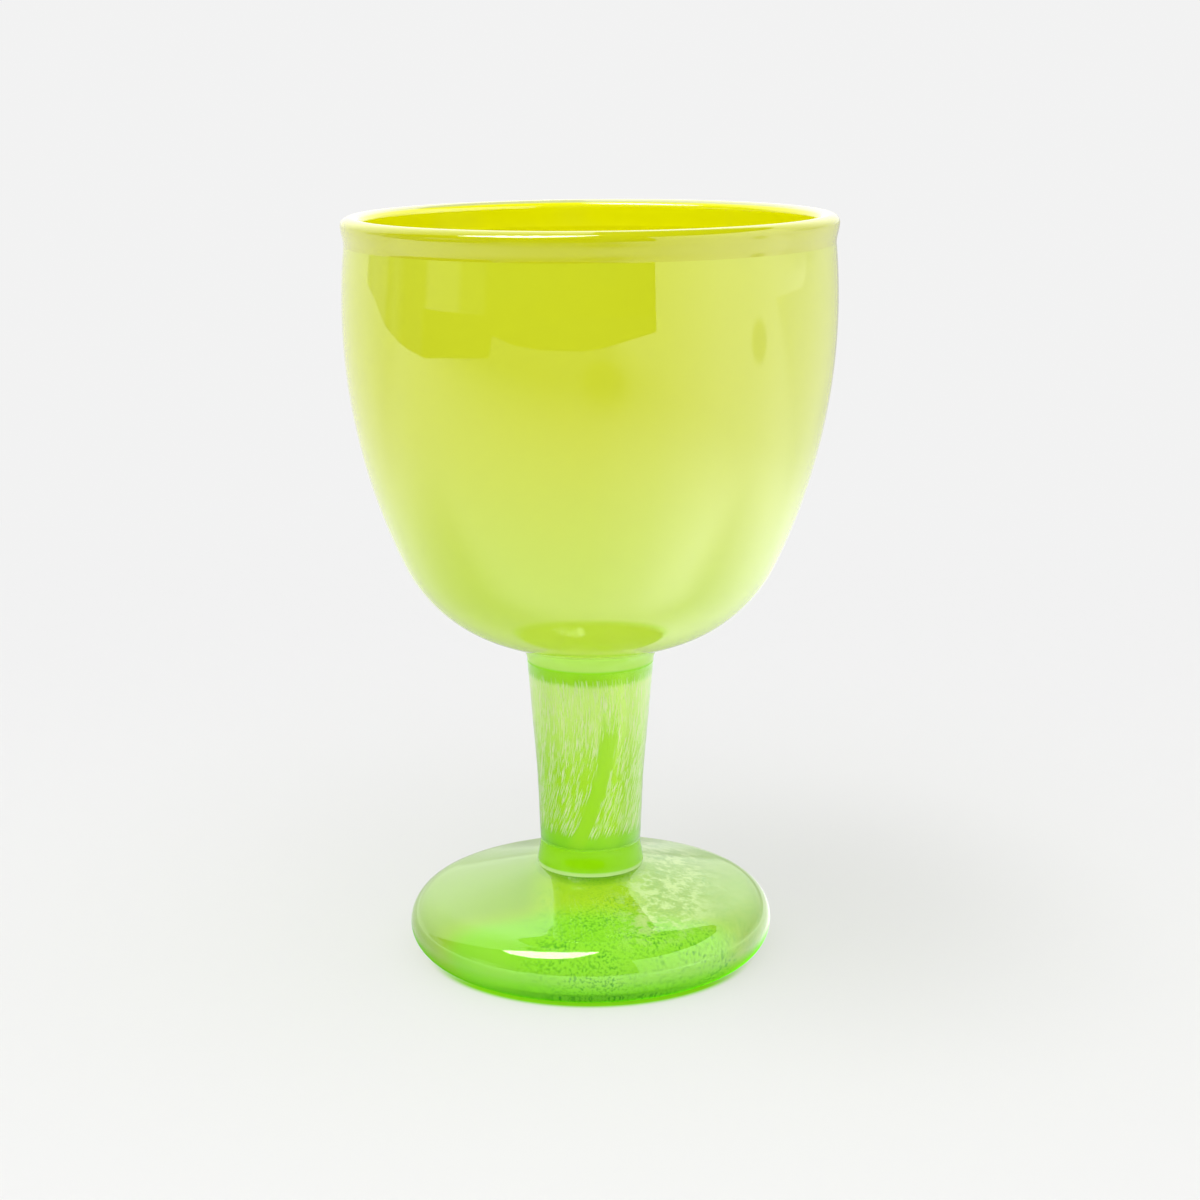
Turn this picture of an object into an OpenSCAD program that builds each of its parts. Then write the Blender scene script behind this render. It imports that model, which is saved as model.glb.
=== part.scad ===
// A goblet of layered glass: a deep round bowl on a short thick stem and a heavy round foot.
// Lengths are in millimetres. The goblet turns about the Z axis and rests on z = 0.
// It is built as the glassmaker builds it, one gather of glass on another, and the gathers
// meet face to face.

/* [Foot] */
// outside radius of the foot
foot_r = 36.5; // [30:0.5:45]
// radius of the round that runs around the edge of the foot; the edge is twice as thick
foot_edge_r = 6.6; // [5:0.1:8]
// how steeply the top of the foot falls from the stem to the edge, in degrees
foot_slope = 13; // [5:0.5:15]
// how far the top of the foot flares up further where it meets the stem
foot_flare = 0.2; // [0:0.1:2]
// how near to the stem that flare stays; 1 is a plain cone
flare_power = 2.5; // [1.5:0.1:4]
// thickness of the clear glass around the powdered gather of the foot
foot_casing_t = 3.2; // [2.6:0.1:3.8]
// width of the flat ring on which the goblet rests
rest_ring_w = 5; // [2:0.5:8]
// how far the underside is hollowed inside the resting ring
underside_depth = 0.6; // [0.2:0.1:1]
// width of the slope between the resting ring and the hollowed underside
underside_slope_w = 2; // [1:0.5:4]
// radius of the ground spot in the middle of the underside
ground_spot_r = 6; // [3:0.5:9]
// how far the ground spot is cut in below the underside
ground_spot_depth = 0.7; // [0.2:0.1:1]

/* [Stem] */
// height of the collar between foot and stem
foot_collar_h = 5; // [3:0.5:8]
// how far the foot of the collar spreads beyond the stem
foot_collar_spread = 0.6; // [0.2:0.1:1.5]
// length of the stem between its two collars
stem_h = 37; // [20:1:70]
// radius of the stem at its lower end
stem_base_r = 10.1; // [8:0.1:12]
// radius of the stem at its upper end
stem_top_r = 12.6; // [9:0.1:14]
// how far the waist of the stem is drawn in from a straight taper
stem_waist = 0.2; // [0:0.1:1]
// thickness of the clear glass around the streaked rod of the stem
stem_casing_t = 2; // [1:0.1:3]
// radius of the hollow curve that leads from the stem into the underside of the bowl
bowl_collar_curve_r = 4; // [2:0.2:6]

/* [Bowl] */
// outside radius of the bowl at its widest circle
bowl_r = 47.6; // [42:0.1:54]
// height of the widest circle above the lowest point of the bowl
bowl_depth = 68.6; // [60:0.2:80]
// height of the bowl wall above its widest circle, up to the lip
bowl_shoulder_h = 12.3; // [6:0.1:16]
// radius of the tight curve between the side and the base of the bowl
haunch_curve_r = 29; // [24:0.5:33]
// radius of the shallow curve under the bowl
base_curve_r = 56.4; // [48:0.2:66]
// how far from the axis that shallow curve reaches
base_part_r = 21.1; // [18:0.1:25]
// thickness of the clear outer layer at the top of the wall
casing_t = 1.9; // [1.2:0.1:2.5]
// thickness of the clear outer layer under the bottom of the bowl
casing_base_t = 4; // [2:0.1:6]
// thickness of the opaque inner layer
lining_t = 1.3; // [0.8:0.1:2]

/* [Lip] */
// height of the whole lip above the bowl wall
lip_h = 5.4; // [3:0.1:8]
// height of the fire-polished round on top of the lip
lip_round_h = 1.6; // [1:0.1:2.2]
// how far the lip stands out beyond the outside of the wall
lip_proud = 0.55; // [0:0.05:1]
// how far the lip stands in beyond the inside of the wall
lip_proud_inside = 0.2; // [0:0.05:0.6]

/* [Hidden] */
$fn = 120;

// numbers of steps along the curved outlines
wall_steps = 44;
seat_steps = 8;
round_steps = 18;
side_steps = 12;

clear_green = [0.35, 0.80, 0.10, 0.5];
powder_green = [0.22, 0.62, 0.08];
streak_green = [0.60, 0.85, 0.30];
clear_lime = [0.75, 0.85, 0.15, 0.5];
opaque_yellow = [0.88, 0.88, 0.05];
rim_yellow = [0.78, 0.80, 0.05];

// heights of the places where one gather of the foot and stem ends and the next begins
foot_collar_r = stem_base_r + foot_collar_spread;
edge_centre_r = foot_r - foot_edge_r;
foot_top_z = foot_top_side(0)[0][1];
stem_base_z = foot_top_z + foot_collar_h;
stem_top_z = stem_base_z + stem_h;

ring_inner_r = edge_centre_r - rest_ring_w;
underside_r = ring_inner_r - underside_slope_w;

// The bowl is drawn with its lowest outside point at the origin. Its outside is three arcs that
// run smoothly into each other. A place on it is named by its turn, the angle of the wall's
// outward direction below level: 0 at the widest circle and 90 at the lowest point.
base_centre = [0, base_curve_r];
base_start_turn = acos(base_part_r / base_curve_r);
haunch_centre = base_centre + (base_curve_r - haunch_curve_r) * outward(base_start_turn);

// The side arc is level with the widest circle and touches the haunch arc. The radius that does
// so follows from how far the widest circle lies outside and above the haunch arc's centre.
side_reach = bowl_r - haunch_centre[0];
side_rise = bowl_depth - haunch_centre[1];
side_curve_r = (pow(side_reach, 2) + pow(side_rise, 2) - pow(haunch_curve_r, 2))
    / (2 * (side_reach - haunch_curve_r));
side_centre = [bowl_r - side_curve_r, bowl_depth];
haunch_start_turn = asin(side_rise / (side_curve_r - haunch_curve_r));

// The collar under the bowl is a hollow curve that touches the bowl's base and the upright
// end of the stem.
collar_seat_turn = acos((stem_top_r + bowl_collar_curve_r) / (base_curve_r + bowl_collar_curve_r));
collar_centre = base_centre + (base_curve_r + bowl_collar_curve_r) * outward(collar_seat_turn);
bowl_base_z = stem_top_z - collar_centre[1];
lip_base_h = bowl_depth + bowl_shoulder_h;

// the bowl's outward direction at a turn
function outward(turn) = [cos(turn), -sin(turn)];

// a share that eases from 0 to 1 as its own argument goes from 0 to 1
function eased_share(share) = (1 - cos(180 * share)) / 2;

// shares from 0 to 1 in equal steps
function even_shares(steps) = [for (i = [0 : steps]) i / steps];

function mix(from, to, share) = from + (to - from) * share;

function reversed(points) = [for (i = [len(points) - 1 : -1 : 0]) points[i]];

// the turn at which a layer this far inside the outside of the bowl reaches the lip
function top_turn(inset) = -asin(bowl_shoulder_h / (side_curve_r - inset));

// a point of the bowl's outside, moved straight in by the inset
function bowl_point(turn, inset) =
    turn <= haunch_start_turn
        ? side_centre + (side_curve_r - inset) * outward(turn)
        : turn <= base_start_turn
            ? haunch_centre + (haunch_curve_r - inset) * outward(turn)
            : base_centre + (base_curve_r - inset) * outward(turn);

// layers keep their thickness above the widest circle and change towards the base below it
function inset_at(turn, top_inset, base_inset) = mix(top_inset, base_inset, max(0, sin(turn)));

// the outline of one layer from the lip to the place where the stem's collar begins
function wall_curve(top_inset, base_inset) =
    [for (share = even_shares(wall_steps))
        let (turn = mix(top_turn(top_inset), collar_seat_turn, share))
        bowl_point(turn, inset_at(turn, top_inset, base_inset))];

// the outline of one layer from the collar's edge to the axis
function seat_curve(top_inset, base_inset) =
    [for (share = even_shares(seat_steps))
        let (turn = mix(collar_seat_turn, 90, share))
        bowl_point(turn, inset_at(turn, top_inset, base_inset))];

function without_first(points) = [for (i = [1 : len(points) - 1]) points[i]];

function layer_curve(top_inset, base_inset) = concat(
    wall_curve(top_inset, base_inset),
    without_first(seat_curve(top_inset, base_inset))
);

outside_curve = layer_curve(0, 0);
layer_joint_curve = layer_curve(casing_t, casing_base_t);
inside_curve = layer_curve(casing_t + lining_t, casing_base_t + lining_t);

// radius of the stem at a share of its height, less the inset
function stem_radius(share, inset) =
    mix(stem_base_r, stem_top_r, share) - 4 * stem_waist * share * (1 - share) - inset;

function stem_side(inset) =
    [for (share = even_shares(side_steps))
        [stem_radius(share, inset), mix(stem_base_z, stem_top_z, share)]];

// a point of the round edge of the foot, drawn in by the inset; the angle is measured from level
function foot_edge_point(angle, inset) =
    [edge_centre_r, foot_edge_r] + (foot_edge_r - inset) * [cos(angle), sin(angle)];

// the top of the foot from the collar out to where it runs into the round edge, drawn in by the inset
function foot_top_side(inset) =
    let (join = foot_edge_point(90 - foot_slope, inset))
    [for (share = even_shares(side_steps))
        let (r = mix(foot_collar_r, join[0], share))
        [r, join[1] + tan(foot_slope) * (join[0] - r) + foot_flare * pow(1 - share, flare_power)]];

// the round edge of the foot from its top to its underside, drawn in by the inset
function foot_edge_side(inset) =
    [for (i = [1 : round_steps])
        foot_edge_point(mix(90 - foot_slope, -90, i / round_steps), inset)];

// the shallow hollow that is ground into the middle of the underside, from its edge to the axis
function ground_spot_side() =
    [for (share = even_shares(side_steps))
        [
            ground_spot_r * (1 - share),
            underside_depth + ground_spot_depth * (1 - (1 - share) * (1 - share))
        ]];

module foot_casing() {
    color(clear_green)
    rotate_extrude()
    difference() {
        polygon(concat(
            [[0, foot_top_z]],
            foot_top_side(0),
            foot_edge_side(0),
            [[ring_inner_r, 0], [underside_r, underside_depth]],
            ground_spot_side()
        ));
        foot_core_outline();
    }
}

module foot_core_outline() {
    polygon(concat(
        [[0, foot_casing_t], [0, foot_top_side(foot_casing_t)[0][1]]],
        foot_top_side(foot_casing_t),
        foot_edge_side(foot_casing_t)
    ));
}

module foot_core() {
    color(powder_green)
    rotate_extrude()
    foot_core_outline();
}

module foot_collar() {
    collar_side = [for (share = even_shares(side_steps))
        [
            mix(foot_collar_r, stem_base_r, eased_share(share)),
            mix(foot_top_z, stem_base_z, share)
        ]];
    color(clear_green)
    rotate_extrude()
    polygon(concat([[0, foot_top_z]], collar_side, [[0, stem_base_z]]));
}

module stem_casing() {
    color(clear_green)
    rotate_extrude()
    polygon(concat(stem_side(0), reversed(stem_side(stem_casing_t))));
}

module stem_core() {
    color(streak_green)
    rotate_extrude()
    polygon(concat([[0, stem_base_z]], stem_side(stem_casing_t), [[0, stem_top_z]]));
}

module bowl_collar() {
    hollow_side = [for (i = [0 : side_steps - 1])
        let (angle = collar_seat_turn * i / side_steps)
        collar_centre + bowl_collar_curve_r * [-cos(angle), sin(angle)]];
    color(clear_green)
    translate([0, 0, bowl_base_z])
    rotate_extrude()
    polygon(concat([[0, collar_centre[1]]], hollow_side, seat_curve(0, 0)));
}

module bowl_casing() {
    color(clear_lime)
    translate([0, 0, bowl_base_z])
    rotate_extrude()
    polygon(concat(outside_curve, reversed(layer_joint_curve)));
}

module bowl_lining() {
    color(opaque_yellow)
    translate([0, 0, bowl_base_z])
    rotate_extrude()
    polygon(concat(layer_joint_curve, reversed(inside_curve)));
}

module lip() {
    outer_r = outside_curve[0][0];
    inner_r = inside_curve[0][0];
    round_base_h = lip_base_h + lip_h - lip_round_h;
    middle_r = (outer_r + lip_proud + inner_r - lip_proud_inside) / 2;
    half_t = (outer_r + lip_proud - inner_r + lip_proud_inside) / 2;
    outer_side = [for (share = even_shares(side_steps))
        [outer_r + lip_proud * eased_share(share), mix(lip_base_h, round_base_h, share)]];
    inner_side = [for (share = even_shares(side_steps))
        [inner_r - lip_proud_inside * eased_share(share), mix(lip_base_h, round_base_h, share)]];
    top_round = [for (i = [1 : round_steps - 1])
        let (angle = 180 * i / round_steps)
        [middle_r + half_t * cos(angle), round_base_h + lip_round_h * sin(angle)]];
    color(rim_yellow)
    translate([0, 0, bowl_base_z])
    rotate_extrude()
    polygon(concat(outer_side, top_round, reversed(inner_side)));
}

foot_casing();
foot_core();
foot_collar();
stem_casing();
stem_core();
bowl_collar();
bowl_casing();
bowl_lining();
lip();
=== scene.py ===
"""The looks of a hand-blown goblet: opal lime bowl, streaked green stem and thick clear green foot.

Every piece is turned from the outline of its own CAD node, so the looks follow the CAD. Lengths are
in metres, in the frame of the CAD: the goblet rests on z = 0 and its axis is +Z.
"""
import math
import random

import bmesh
import bpy
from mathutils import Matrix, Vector, noise


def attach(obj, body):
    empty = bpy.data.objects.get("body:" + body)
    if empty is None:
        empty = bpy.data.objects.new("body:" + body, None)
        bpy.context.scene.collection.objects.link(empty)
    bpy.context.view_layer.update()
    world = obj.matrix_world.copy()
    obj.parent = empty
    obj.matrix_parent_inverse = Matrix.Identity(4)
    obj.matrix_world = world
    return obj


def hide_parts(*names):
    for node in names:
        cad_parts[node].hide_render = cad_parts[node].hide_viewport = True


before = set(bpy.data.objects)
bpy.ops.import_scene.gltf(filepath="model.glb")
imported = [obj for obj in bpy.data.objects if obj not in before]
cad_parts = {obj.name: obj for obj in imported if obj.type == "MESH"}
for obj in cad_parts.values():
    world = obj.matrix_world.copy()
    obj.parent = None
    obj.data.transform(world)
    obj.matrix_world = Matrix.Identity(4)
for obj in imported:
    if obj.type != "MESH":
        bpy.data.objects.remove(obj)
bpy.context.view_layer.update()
scene = bpy.context.scene

MM = 0.001
WHITE = (1.0, 1.0, 1.0)


# The main sizes of the goblet, which both shapes and colours follow

BOWL_R = 47.6 * MM
FOOT_R = 36.5 * MM
FOOT_TOP = 18 * MM
STEM_BASE = 23 * MM
STEM_TOP = 60 * MM
RIM = 148 * MM

# how far the streaks of the stem are twisted, and how that eases off towards the top
TWIST = 1.9
TWIST_EASE = 0.62

# the band of the stem without streaks: its angle about the axis at the foot, half its width and its top
BAND_ANGLE = math.radians(-110)
BAND_HALF = math.radians(9)
BAND_TOP = 47 * MM


# Camera: fitted to the outline of the goblet in the photograph

CAMERA_PLACE = (0, -0.4543, 0.1774)
CAMERA_LENS = 70.74
CAMERA_SENSOR = 36
CAMERA_PITCH = math.radians(13.06)
CAMERA_YAW = math.radians(0.243)
CAMERA_CLIP = 10 * MM


def make_camera():
    data = bpy.data.cameras.new("camera")
    data.lens = CAMERA_LENS
    data.sensor_width = CAMERA_SENSOR
    data.clip_start = CAMERA_CLIP
    camera = bpy.data.objects.new("camera", data)
    camera.location = CAMERA_PLACE
    camera.rotation_euler = (math.pi / 2 - CAMERA_PITCH, 0, -CAMERA_YAW)
    scene.collection.objects.link(camera)
    scene.camera = camera


# Outlines of the CAD nodes

# vertices this near each other, turned about Z, are one point of an outline
GRID = 0.002 * MM
# a point this near the line between its neighbours is left out
ON_LINE = 0.0005 * MM
# outlines that come this near each other touch
TOUCH = 0.01 * MM
# an outline that turns by more than this at a point has a corner there
CORNER = math.radians(14)
# the most by which a smoothed outline turns, and runs on, from one point to the next
MOST_BEND = math.radians(3.5)
MOST_STEP = 1.5 * MM
# keeps a segment without length from a division by zero
LEAST_SQUARE = 1e-18


def distance_to_segment(point, start, end):
    along = end - start
    share = (point - start).dot(along) / max(along.length_squared, LEAST_SQUARE)
    return (point - start - min(1, max(0, share)) * along).length


def without_points_on_lines(points, closed):
    """The outline without the points that lie on the straight line between their neighbours."""
    kept = list(points)
    ends = 0 if closed else 1
    i = ends
    while i < len(kept) - ends:
        if distance_to_segment(kept[i], kept[i - 1], kept[(i + 1) % len(kept)]) < ON_LINE:
            del kept[i]
        else:
            i += 1
    return kept


def circles_of(mesh):
    """The circles about Z on which a turned mesh's vertices lie, and how its edges join them.

    Both come by the circles' keys: their (radius, height) points, and the keys of those next to them.
    """
    circles = {}
    circle_of = []
    for vertex in mesh.vertices:
        x, y, z = vertex.co
        spot = Vector((math.hypot(x, y), z))
        cell = (round(spot[0] / GRID), round(spot[1] / GRID))
        near = [(cell[0] + i, cell[1] + j) for i in (0, -1, 1) for j in (0, -1, 1)]
        key = next((place for place in near if place in circles), cell)
        circles.setdefault(key, spot)
        circle_of.append(key)
    links = {key: set() for key in circles}
    for edge in mesh.edges:
        a, b = (circle_of[i] for i in edge.vertices)
        if a != b:
            links[a].add(b)
            links[b].add(a)
    return circles, links


def carried_to_axis(points):
    """The open outline with both of its ends on the axis."""
    first_cap = [Vector((0, points[0][1]))] if points[0][0] > GRID else []
    last_cap = [Vector((0, points[-1][1]))] if points[-1][0] > GRID else []
    return first_cap + points + last_cap


def cad_outlines(node):
    """The outlines that turn about Z into this CAD node, as lists of (radius, height) points.

    All of the node's faces are turned, so each vertex lies on a circle about Z, and the mesh edges
    join each circle to the next one along the outline. An outline that isn't a loop starts and ends
    on the axis. Each comes back with whether it is a loop.
    """
    circles, links = circles_of(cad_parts[node].data)
    outlines = []
    while links:
        ends = sorted(key for key in links if len(links[key]) == 1)
        here = ends[0] if ends else min(links)
        points = []
        while here in links:
            points.append(circles[here])
            following = sorted(key for key in links.pop(here) if key in links)
            here = following[0] if following else None
        closed = not ends
        if not closed:
            points = carried_to_axis(points)
        outlines.append((without_points_on_lines(points, closed), closed))
    return outlines


def turn_at(before, here, after):
    """The angle by which the outline turns at a point."""
    return (here - before).angle(after - here, 0)


def smoothed(points, closed):
    """A finer outline through the same points, with the corners kept.

    Between two points it follows a cubic curve whose ends have the direction of the neighbouring
    points. It comes back with the number of the coarse segment that each fine segment is part of.
    """
    count = len(points)
    segments = count if closed else count - 1

    def direction(i):
        before, after = points[(i - 1) % count], points[(i + 1) % count]
        at_end = not closed and i in (0, count - 1)
        if at_end or turn_at(before, points[i], after) > CORNER:
            return None
        into, out = points[i] - before, after - points[i]
        blend = into / into.length_squared + out / out.length_squared
        return blend.normalized()

    fine = [points[0]]
    source = []
    for i in range(segments):
        start, end = points[i], points[(i + 1) % count]
        chord = end - start
        leave = direction(i) or chord.normalized()
        arrive = direction((i + 1) % count) or chord.normalized()
        bend = leave.angle(arrive, 0)
        steps = max(1, math.ceil(bend / MOST_BEND), math.ceil(chord.length / MOST_STEP))
        for step in range(1, steps + 1):
            t = step / steps
            start_share = (1 + 2 * t) * (1 - t) ** 2
            end_share = t * t * (3 - 2 * t)
            leave_share = t * (1 - t) ** 2 * chord.length
            arrive_share = t * t * (t - 1) * chord.length
            place = start * start_share + end * end_share + leave * leave_share + arrive * arrive_share
            fine.append(Vector((place[0], max(0, place[1]))))
            source.append(i)
    if closed:
        fine.pop()
    return fine, source


all_outlines = {name: cad_outlines(name) for name in sorted(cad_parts)}


def is_joint(node, middle):
    """True if this place on the node's outline also lies on another node's outline."""
    for other, outlines in all_outlines.items():
        if other == node:
            continue
        for points, closed in outlines:
            following = points[1:] + points[:1] if closed else points[1:]
            if any(distance_to_segment(middle, a, b) < TOUCH for a, b in zip(points, following)):
                return True
    return False


# Shapes

# how many steps make a full turn
TURN_STEPS = 192

# how far faces of clear glass are drawn in where another piece touches them
JOINT_INSET = 0.02 * MM

# The hand-made unevenness. It only draws the glass in, so that the goblet stays inside the CAD's box.
RIM_DIP = 0.75 * MM
FOOT_THINNING = 0.085
WAIST_DRAW = 0.16 * MM
WAIST_HEIGHT = 37 * MM
WAIST_SPREAD = 8 * MM
WAVE = 0.05 * MM
WAVE_LENGTH = 26 * MM


def smooth_share(value, start, end):
    share = min(1, max(0, (value - start) / (end - start)))
    return share * share * (3 - 2 * share)


def handmade(x, y, z):
    """The place of a point of the turned goblet on the hand-made one."""
    r = math.hypot(x, y)
    dip = RIM_DIP * smooth_share(z, STEM_TOP, RIM) * (1 - x / BOWL_R) / 2
    foot_share = 1 - smooth_share(z, FOOT_TOP, STEM_BASE)
    thinning = FOOT_THINNING * foot_share * min(1, r / FOOT_R) ** 2 * (1 - x / FOOT_R) / 2
    waist = WAIST_DRAW * math.exp(-(((z - WAIST_HEIGHT) / WAIST_SPREAD) ** 2))
    wave = WAVE * (1 + noise.noise(Vector((x, y, z)) / WAVE_LENGTH)) / 2
    in_share = 1 - min(waist + wave, r) / max(r, waist + wave)
    if r > 0:
        x, y = x * in_share, y * in_share
    return x, y, z * (1 - thinning) - dip


def finished(name, bm, *materials):
    """The object of a mesh that is being built, in the scene and with its materials."""
    mesh = bpy.data.meshes.new(name)
    bm.to_mesh(mesh)
    bm.free()
    for material in materials:
        mesh.materials.append(material)
    piece = bpy.data.objects.new(name, mesh)
    scene.collection.objects.link(piece)
    return piece


def band(bm, low, high):
    """The smooth faces between two rings, either of which may be a single point on the axis."""
    sides = max(len(low), len(high))
    if sides == 1:
        return []
    made = []
    for i in range(sides):
        j = (i + 1) % sides
        if len(low) == 1:
            corners = (low[0], high[j], high[i])
        elif len(high) == 1:
            corners = (low[i], low[j], high[0])
        else:
            corners = (low[i], low[j], high[j], high[i])
        face = bm.faces.new(corners)
        face.smooth = True
        made.append(face)
    return made


def ring_at(bm, r, z):
    """The vertices that one point of an outline turns into: a ring, or one vertex on the axis."""
    if r < GRID:
        return [bm.verts.new(handmade(0, 0, z))]
    angles = [2 * math.pi * i / TURN_STEPS for i in range(TURN_STEPS)]
    return [bm.verts.new(handmade(r * math.cos(a), r * math.sin(a), z)) for a in angles]


def keep_crisp(bm, ring):
    """Makes the edges of a ring sharp, as the corner of an outline is."""
    for a, b in zip(ring, ring[1:] + ring[:1]):
        edge = bm.edges.get((a, b))
        if edge is not None:
            edge.smooth = False


def drawn_in(points, faces_joint, closed):
    """The outline with its joint stretches moved a hair to the inside of the piece."""
    count = len(points)
    area = sum(a[0] * b[1] - b[0] * a[1] for a, b in zip(points, points[1:] + points[:1]))
    side = 1 if area > 0 else -1
    moved = []
    for k, here in enumerate(points):
        before = faces_joint[k - 1] if closed or k > 0 else True
        after = faces_joint[k] if k < len(faces_joint) else True
        if before and after:
            previous = points[k - 1 if closed else max(k - 1, 0)]
            following = points[(k + 1) % count if closed else min(k + 1, count - 1)]
            along = following - previous
            inward = Vector((-along[1], along[0])).normalized() * side
            place = here + inward * JOINT_INSET
            on_axis = here[0] <= GRID
            moved.append(Vector((0 if on_axis else max(0, place[0]), place[1])))
        else:
            moved.append(here)
    return moved


def turned(name, node, material, joint_material=None):
    """A piece turned from its CAD node's outline.

    Where there is a joint_material, the faces that another piece touches get it, and are drawn a hair
    into the piece, so that light meets one surface at a time.
    """
    bm = bmesh.new()
    for coarse, closed in all_outlines[node]:
        points, source = smoothed(coarse, closed)
        count = len(points)
        coarse_after = coarse[1:] + coarse[:1]
        joints = [is_joint(node, (a + b) / 2) for a, b in zip(coarse, coarse_after)]
        faces_joint = [joints[i] for i in source]
        if joint_material is not None:
            points = drawn_in(points, faces_joint, closed)
        rings = [ring_at(bm, r, z) for r, z in points]
        for k in range(count if closed else count - 1):
            for face in band(bm, rings[k], rings[(k + 1) % count]):
                face.material_index = 1 if joint_material is not None and faces_joint[k] else 0
        for k, here in enumerate(points):
            inner = closed or 0 < k < count - 1
            if inner and turn_at(points[k - 1], here, points[(k + 1) % count]) > CORNER:
                keep_crisp(bm, rings[k])
    bmesh.ops.recalc_face_normals(bm, faces=bm.faces)
    materials = [material] if joint_material is None else [material, joint_material]
    return finished(name, bm, *materials)


# The pale threads of the stem, most of them in the clear glass close round its rod

# how many are drawn, before those in the band are left out, and the mesh of each
STREAKS = 3200
STREAK_SEED = 11
STREAK_RINGS = 5
STREAK_SIDES = 4

# the radius of the rod at the foot and at the neck, and how far outside it the outermost threads lie
ROD_R_LOW = 8.1 * MM
ROD_R_HIGH = 10.6 * MM
STREAK_OUT = 0.9 * MM
# the least distance of a thread from the axis, as a share of that outermost radius
STREAK_IN_SHARE = 0.9

# between which heights the threads lie, and how near to them the middle of a thread may be
STREAK_LOW = STEM_BASE + 2.2 * MM
STREAK_HIGH = STEM_TOP - 1.2 * MM
STREAK_MARGIN = 0.4 * MM

# their lengths and greatest half thicknesses; with a smaller taper they end more bluntly
SHORTEST_STREAK = 1.0 * MM
LONGEST_STREAK = 3.6 * MM
THINNEST_STREAK = 0.025 * MM
THICKEST_STREAK = 0.06 * MM
STREAK_TAPER = 0.7


def stem_share(z):
    return (z - STEM_BASE) / (STEM_TOP - STEM_BASE)


def streak_radius(z):
    """The distance of the outermost threads from the axis at a height."""
    return ROD_R_LOW + (ROD_R_HIGH - ROD_R_LOW) * stem_share(z) + STREAK_OUT


def twist(z):
    """The angle by which a drawn-out thread has turned about the axis at a height."""
    share = stem_share(z)
    return TWIST * share * (1 - TWIST_EASE * share)


def thread(bm, low, high, radius_share, angle, thick):
    """One thin spindle that follows the twist of the stem."""
    rings = []
    for k in range(STREAK_RINGS):
        share = k / (STREAK_RINGS - 1)
        z = low + (high - low) * share
        r = streak_radius(z) * radius_share
        a = angle + twist(z)
        middle = Vector(handmade(r * math.cos(a), r * math.sin(a), z))
        if k in (0, STREAK_RINGS - 1):
            rings.append([bm.verts.new(middle)])
            continue
        wide = thick * math.sin(math.pi * share) ** STREAK_TAPER
        out = Vector((math.cos(a), math.sin(a), 0))
        side = Vector((-math.sin(a), math.cos(a), 0))
        turns = [2 * math.pi * i / STREAK_SIDES for i in range(STREAK_SIDES)]
        offsets = [wide * (math.cos(t) * out + math.sin(t) * side) for t in turns]
        rings.append([bm.verts.new(middle + offset) for offset in offsets])
    for low_ring, high_ring in zip(rings, rings[1:]):
        band(bm, low_ring, high_ring)


def make_streaks(material):
    rng = random.Random(STREAK_SEED)
    bm = bmesh.new()
    for _ in range(STREAKS):
        z = rng.uniform(STREAK_LOW + STREAK_MARGIN, STREAK_HIGH - STREAK_MARGIN)
        length = rng.uniform(SHORTEST_STREAK, LONGEST_STREAK)
        radius_share = rng.uniform(STREAK_IN_SHARE, 1)
        angle = rng.uniform(0, 2 * math.pi)
        thick = rng.uniform(THINNEST_STREAK, THICKEST_STREAK)
        if abs(angle - BAND_ANGLE % (2 * math.pi)) < BAND_HALF and z < BAND_TOP:
            continue
        low = max(z - length / 2, STREAK_LOW)
        high = min(z + length / 2, STREAK_HIGH)
        thread(bm, low, high, radius_share, angle, thick)
    return finished("stem_streaks", bm, material)


# Shader nodes. Colours are linear red, green and blue.

MOTTLE_DETAIL = 3.0
MOTTLE_ROUGHNESS = 0.55


def add(tree, kind, settings=None, **inputs):
    """A new node of this kind. Its inputs go by name, or by number as _0, _1 and so on.

    An input that is given as a socket is linked, and any other one is set.
    """
    node = tree.nodes.new("ShaderNode" + kind)
    for name, value in (settings or {}).items():
        setattr(node, name, value)
    for name, value in inputs.items():
        numbered = name[1:].isdigit()
        socket = node.inputs[int(name[1:])] if numbered else node.inputs[name.replace("_", " ")]
        if isinstance(value, bpy.types.NodeSocket):
            tree.links.new(value, socket)
        else:
            socket.default_value = value
    return node


def rgb(*values):
    return (*values, 1.0)


def numbered_inputs(values):
    return {f"_{i}": value for i, value in enumerate(values)}


def math_node(tree, operation, *values):
    return add(tree, "Math", {"operation": operation}, **numbered_inputs(values)).outputs[0]


def product(tree, *factors):
    made = factors[0]
    for factor in factors[1:]:
        made = math_node(tree, "MULTIPLY", made, factor)
    return made


def one_minus(tree, value):
    return math_node(tree, "SUBTRACT", 1.0, value)


def is_above(tree, value, limit):
    return math_node(tree, "GREATER_THAN", value, limit)


def is_below(tree, value, limit):
    return math_node(tree, "LESS_THAN", value, limit)


def vector_node(tree, operation, *values):
    """What this operation makes of vectors: one number for a length or a dot product, else a vector."""
    node = add(tree, "VectorMath", {"operation": operation}, **numbered_inputs(values))
    return node.outputs["Value" if operation in ("LENGTH", "DOT_PRODUCT") else "Vector"]


def part_of(tree, vector, axis):
    return add(tree, "SeparateXYZ", Vector=vector).outputs[axis]


def object_place(tree):
    return add(tree, "TexCoord").outputs["Object"]


def stepped(tree, value, start, end, low=0.0, high=1.0):
    """low up to start, high from end on, and a straight slope between them."""
    return add(tree, "MapRange", Value=value, _1=start, _2=end, _3=low, _4=high).outputs[0]


def eased(tree, value, start, end, low=0.0, high=1.0):
    """low up to start, high from end on, and a soft step between them."""
    soft = {"interpolation_type": "SMOOTHSTEP"}
    return add(tree, "MapRange", soft, Value=value, _1=start, _2=end, _3=low, _4=high).outputs[0]


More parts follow.
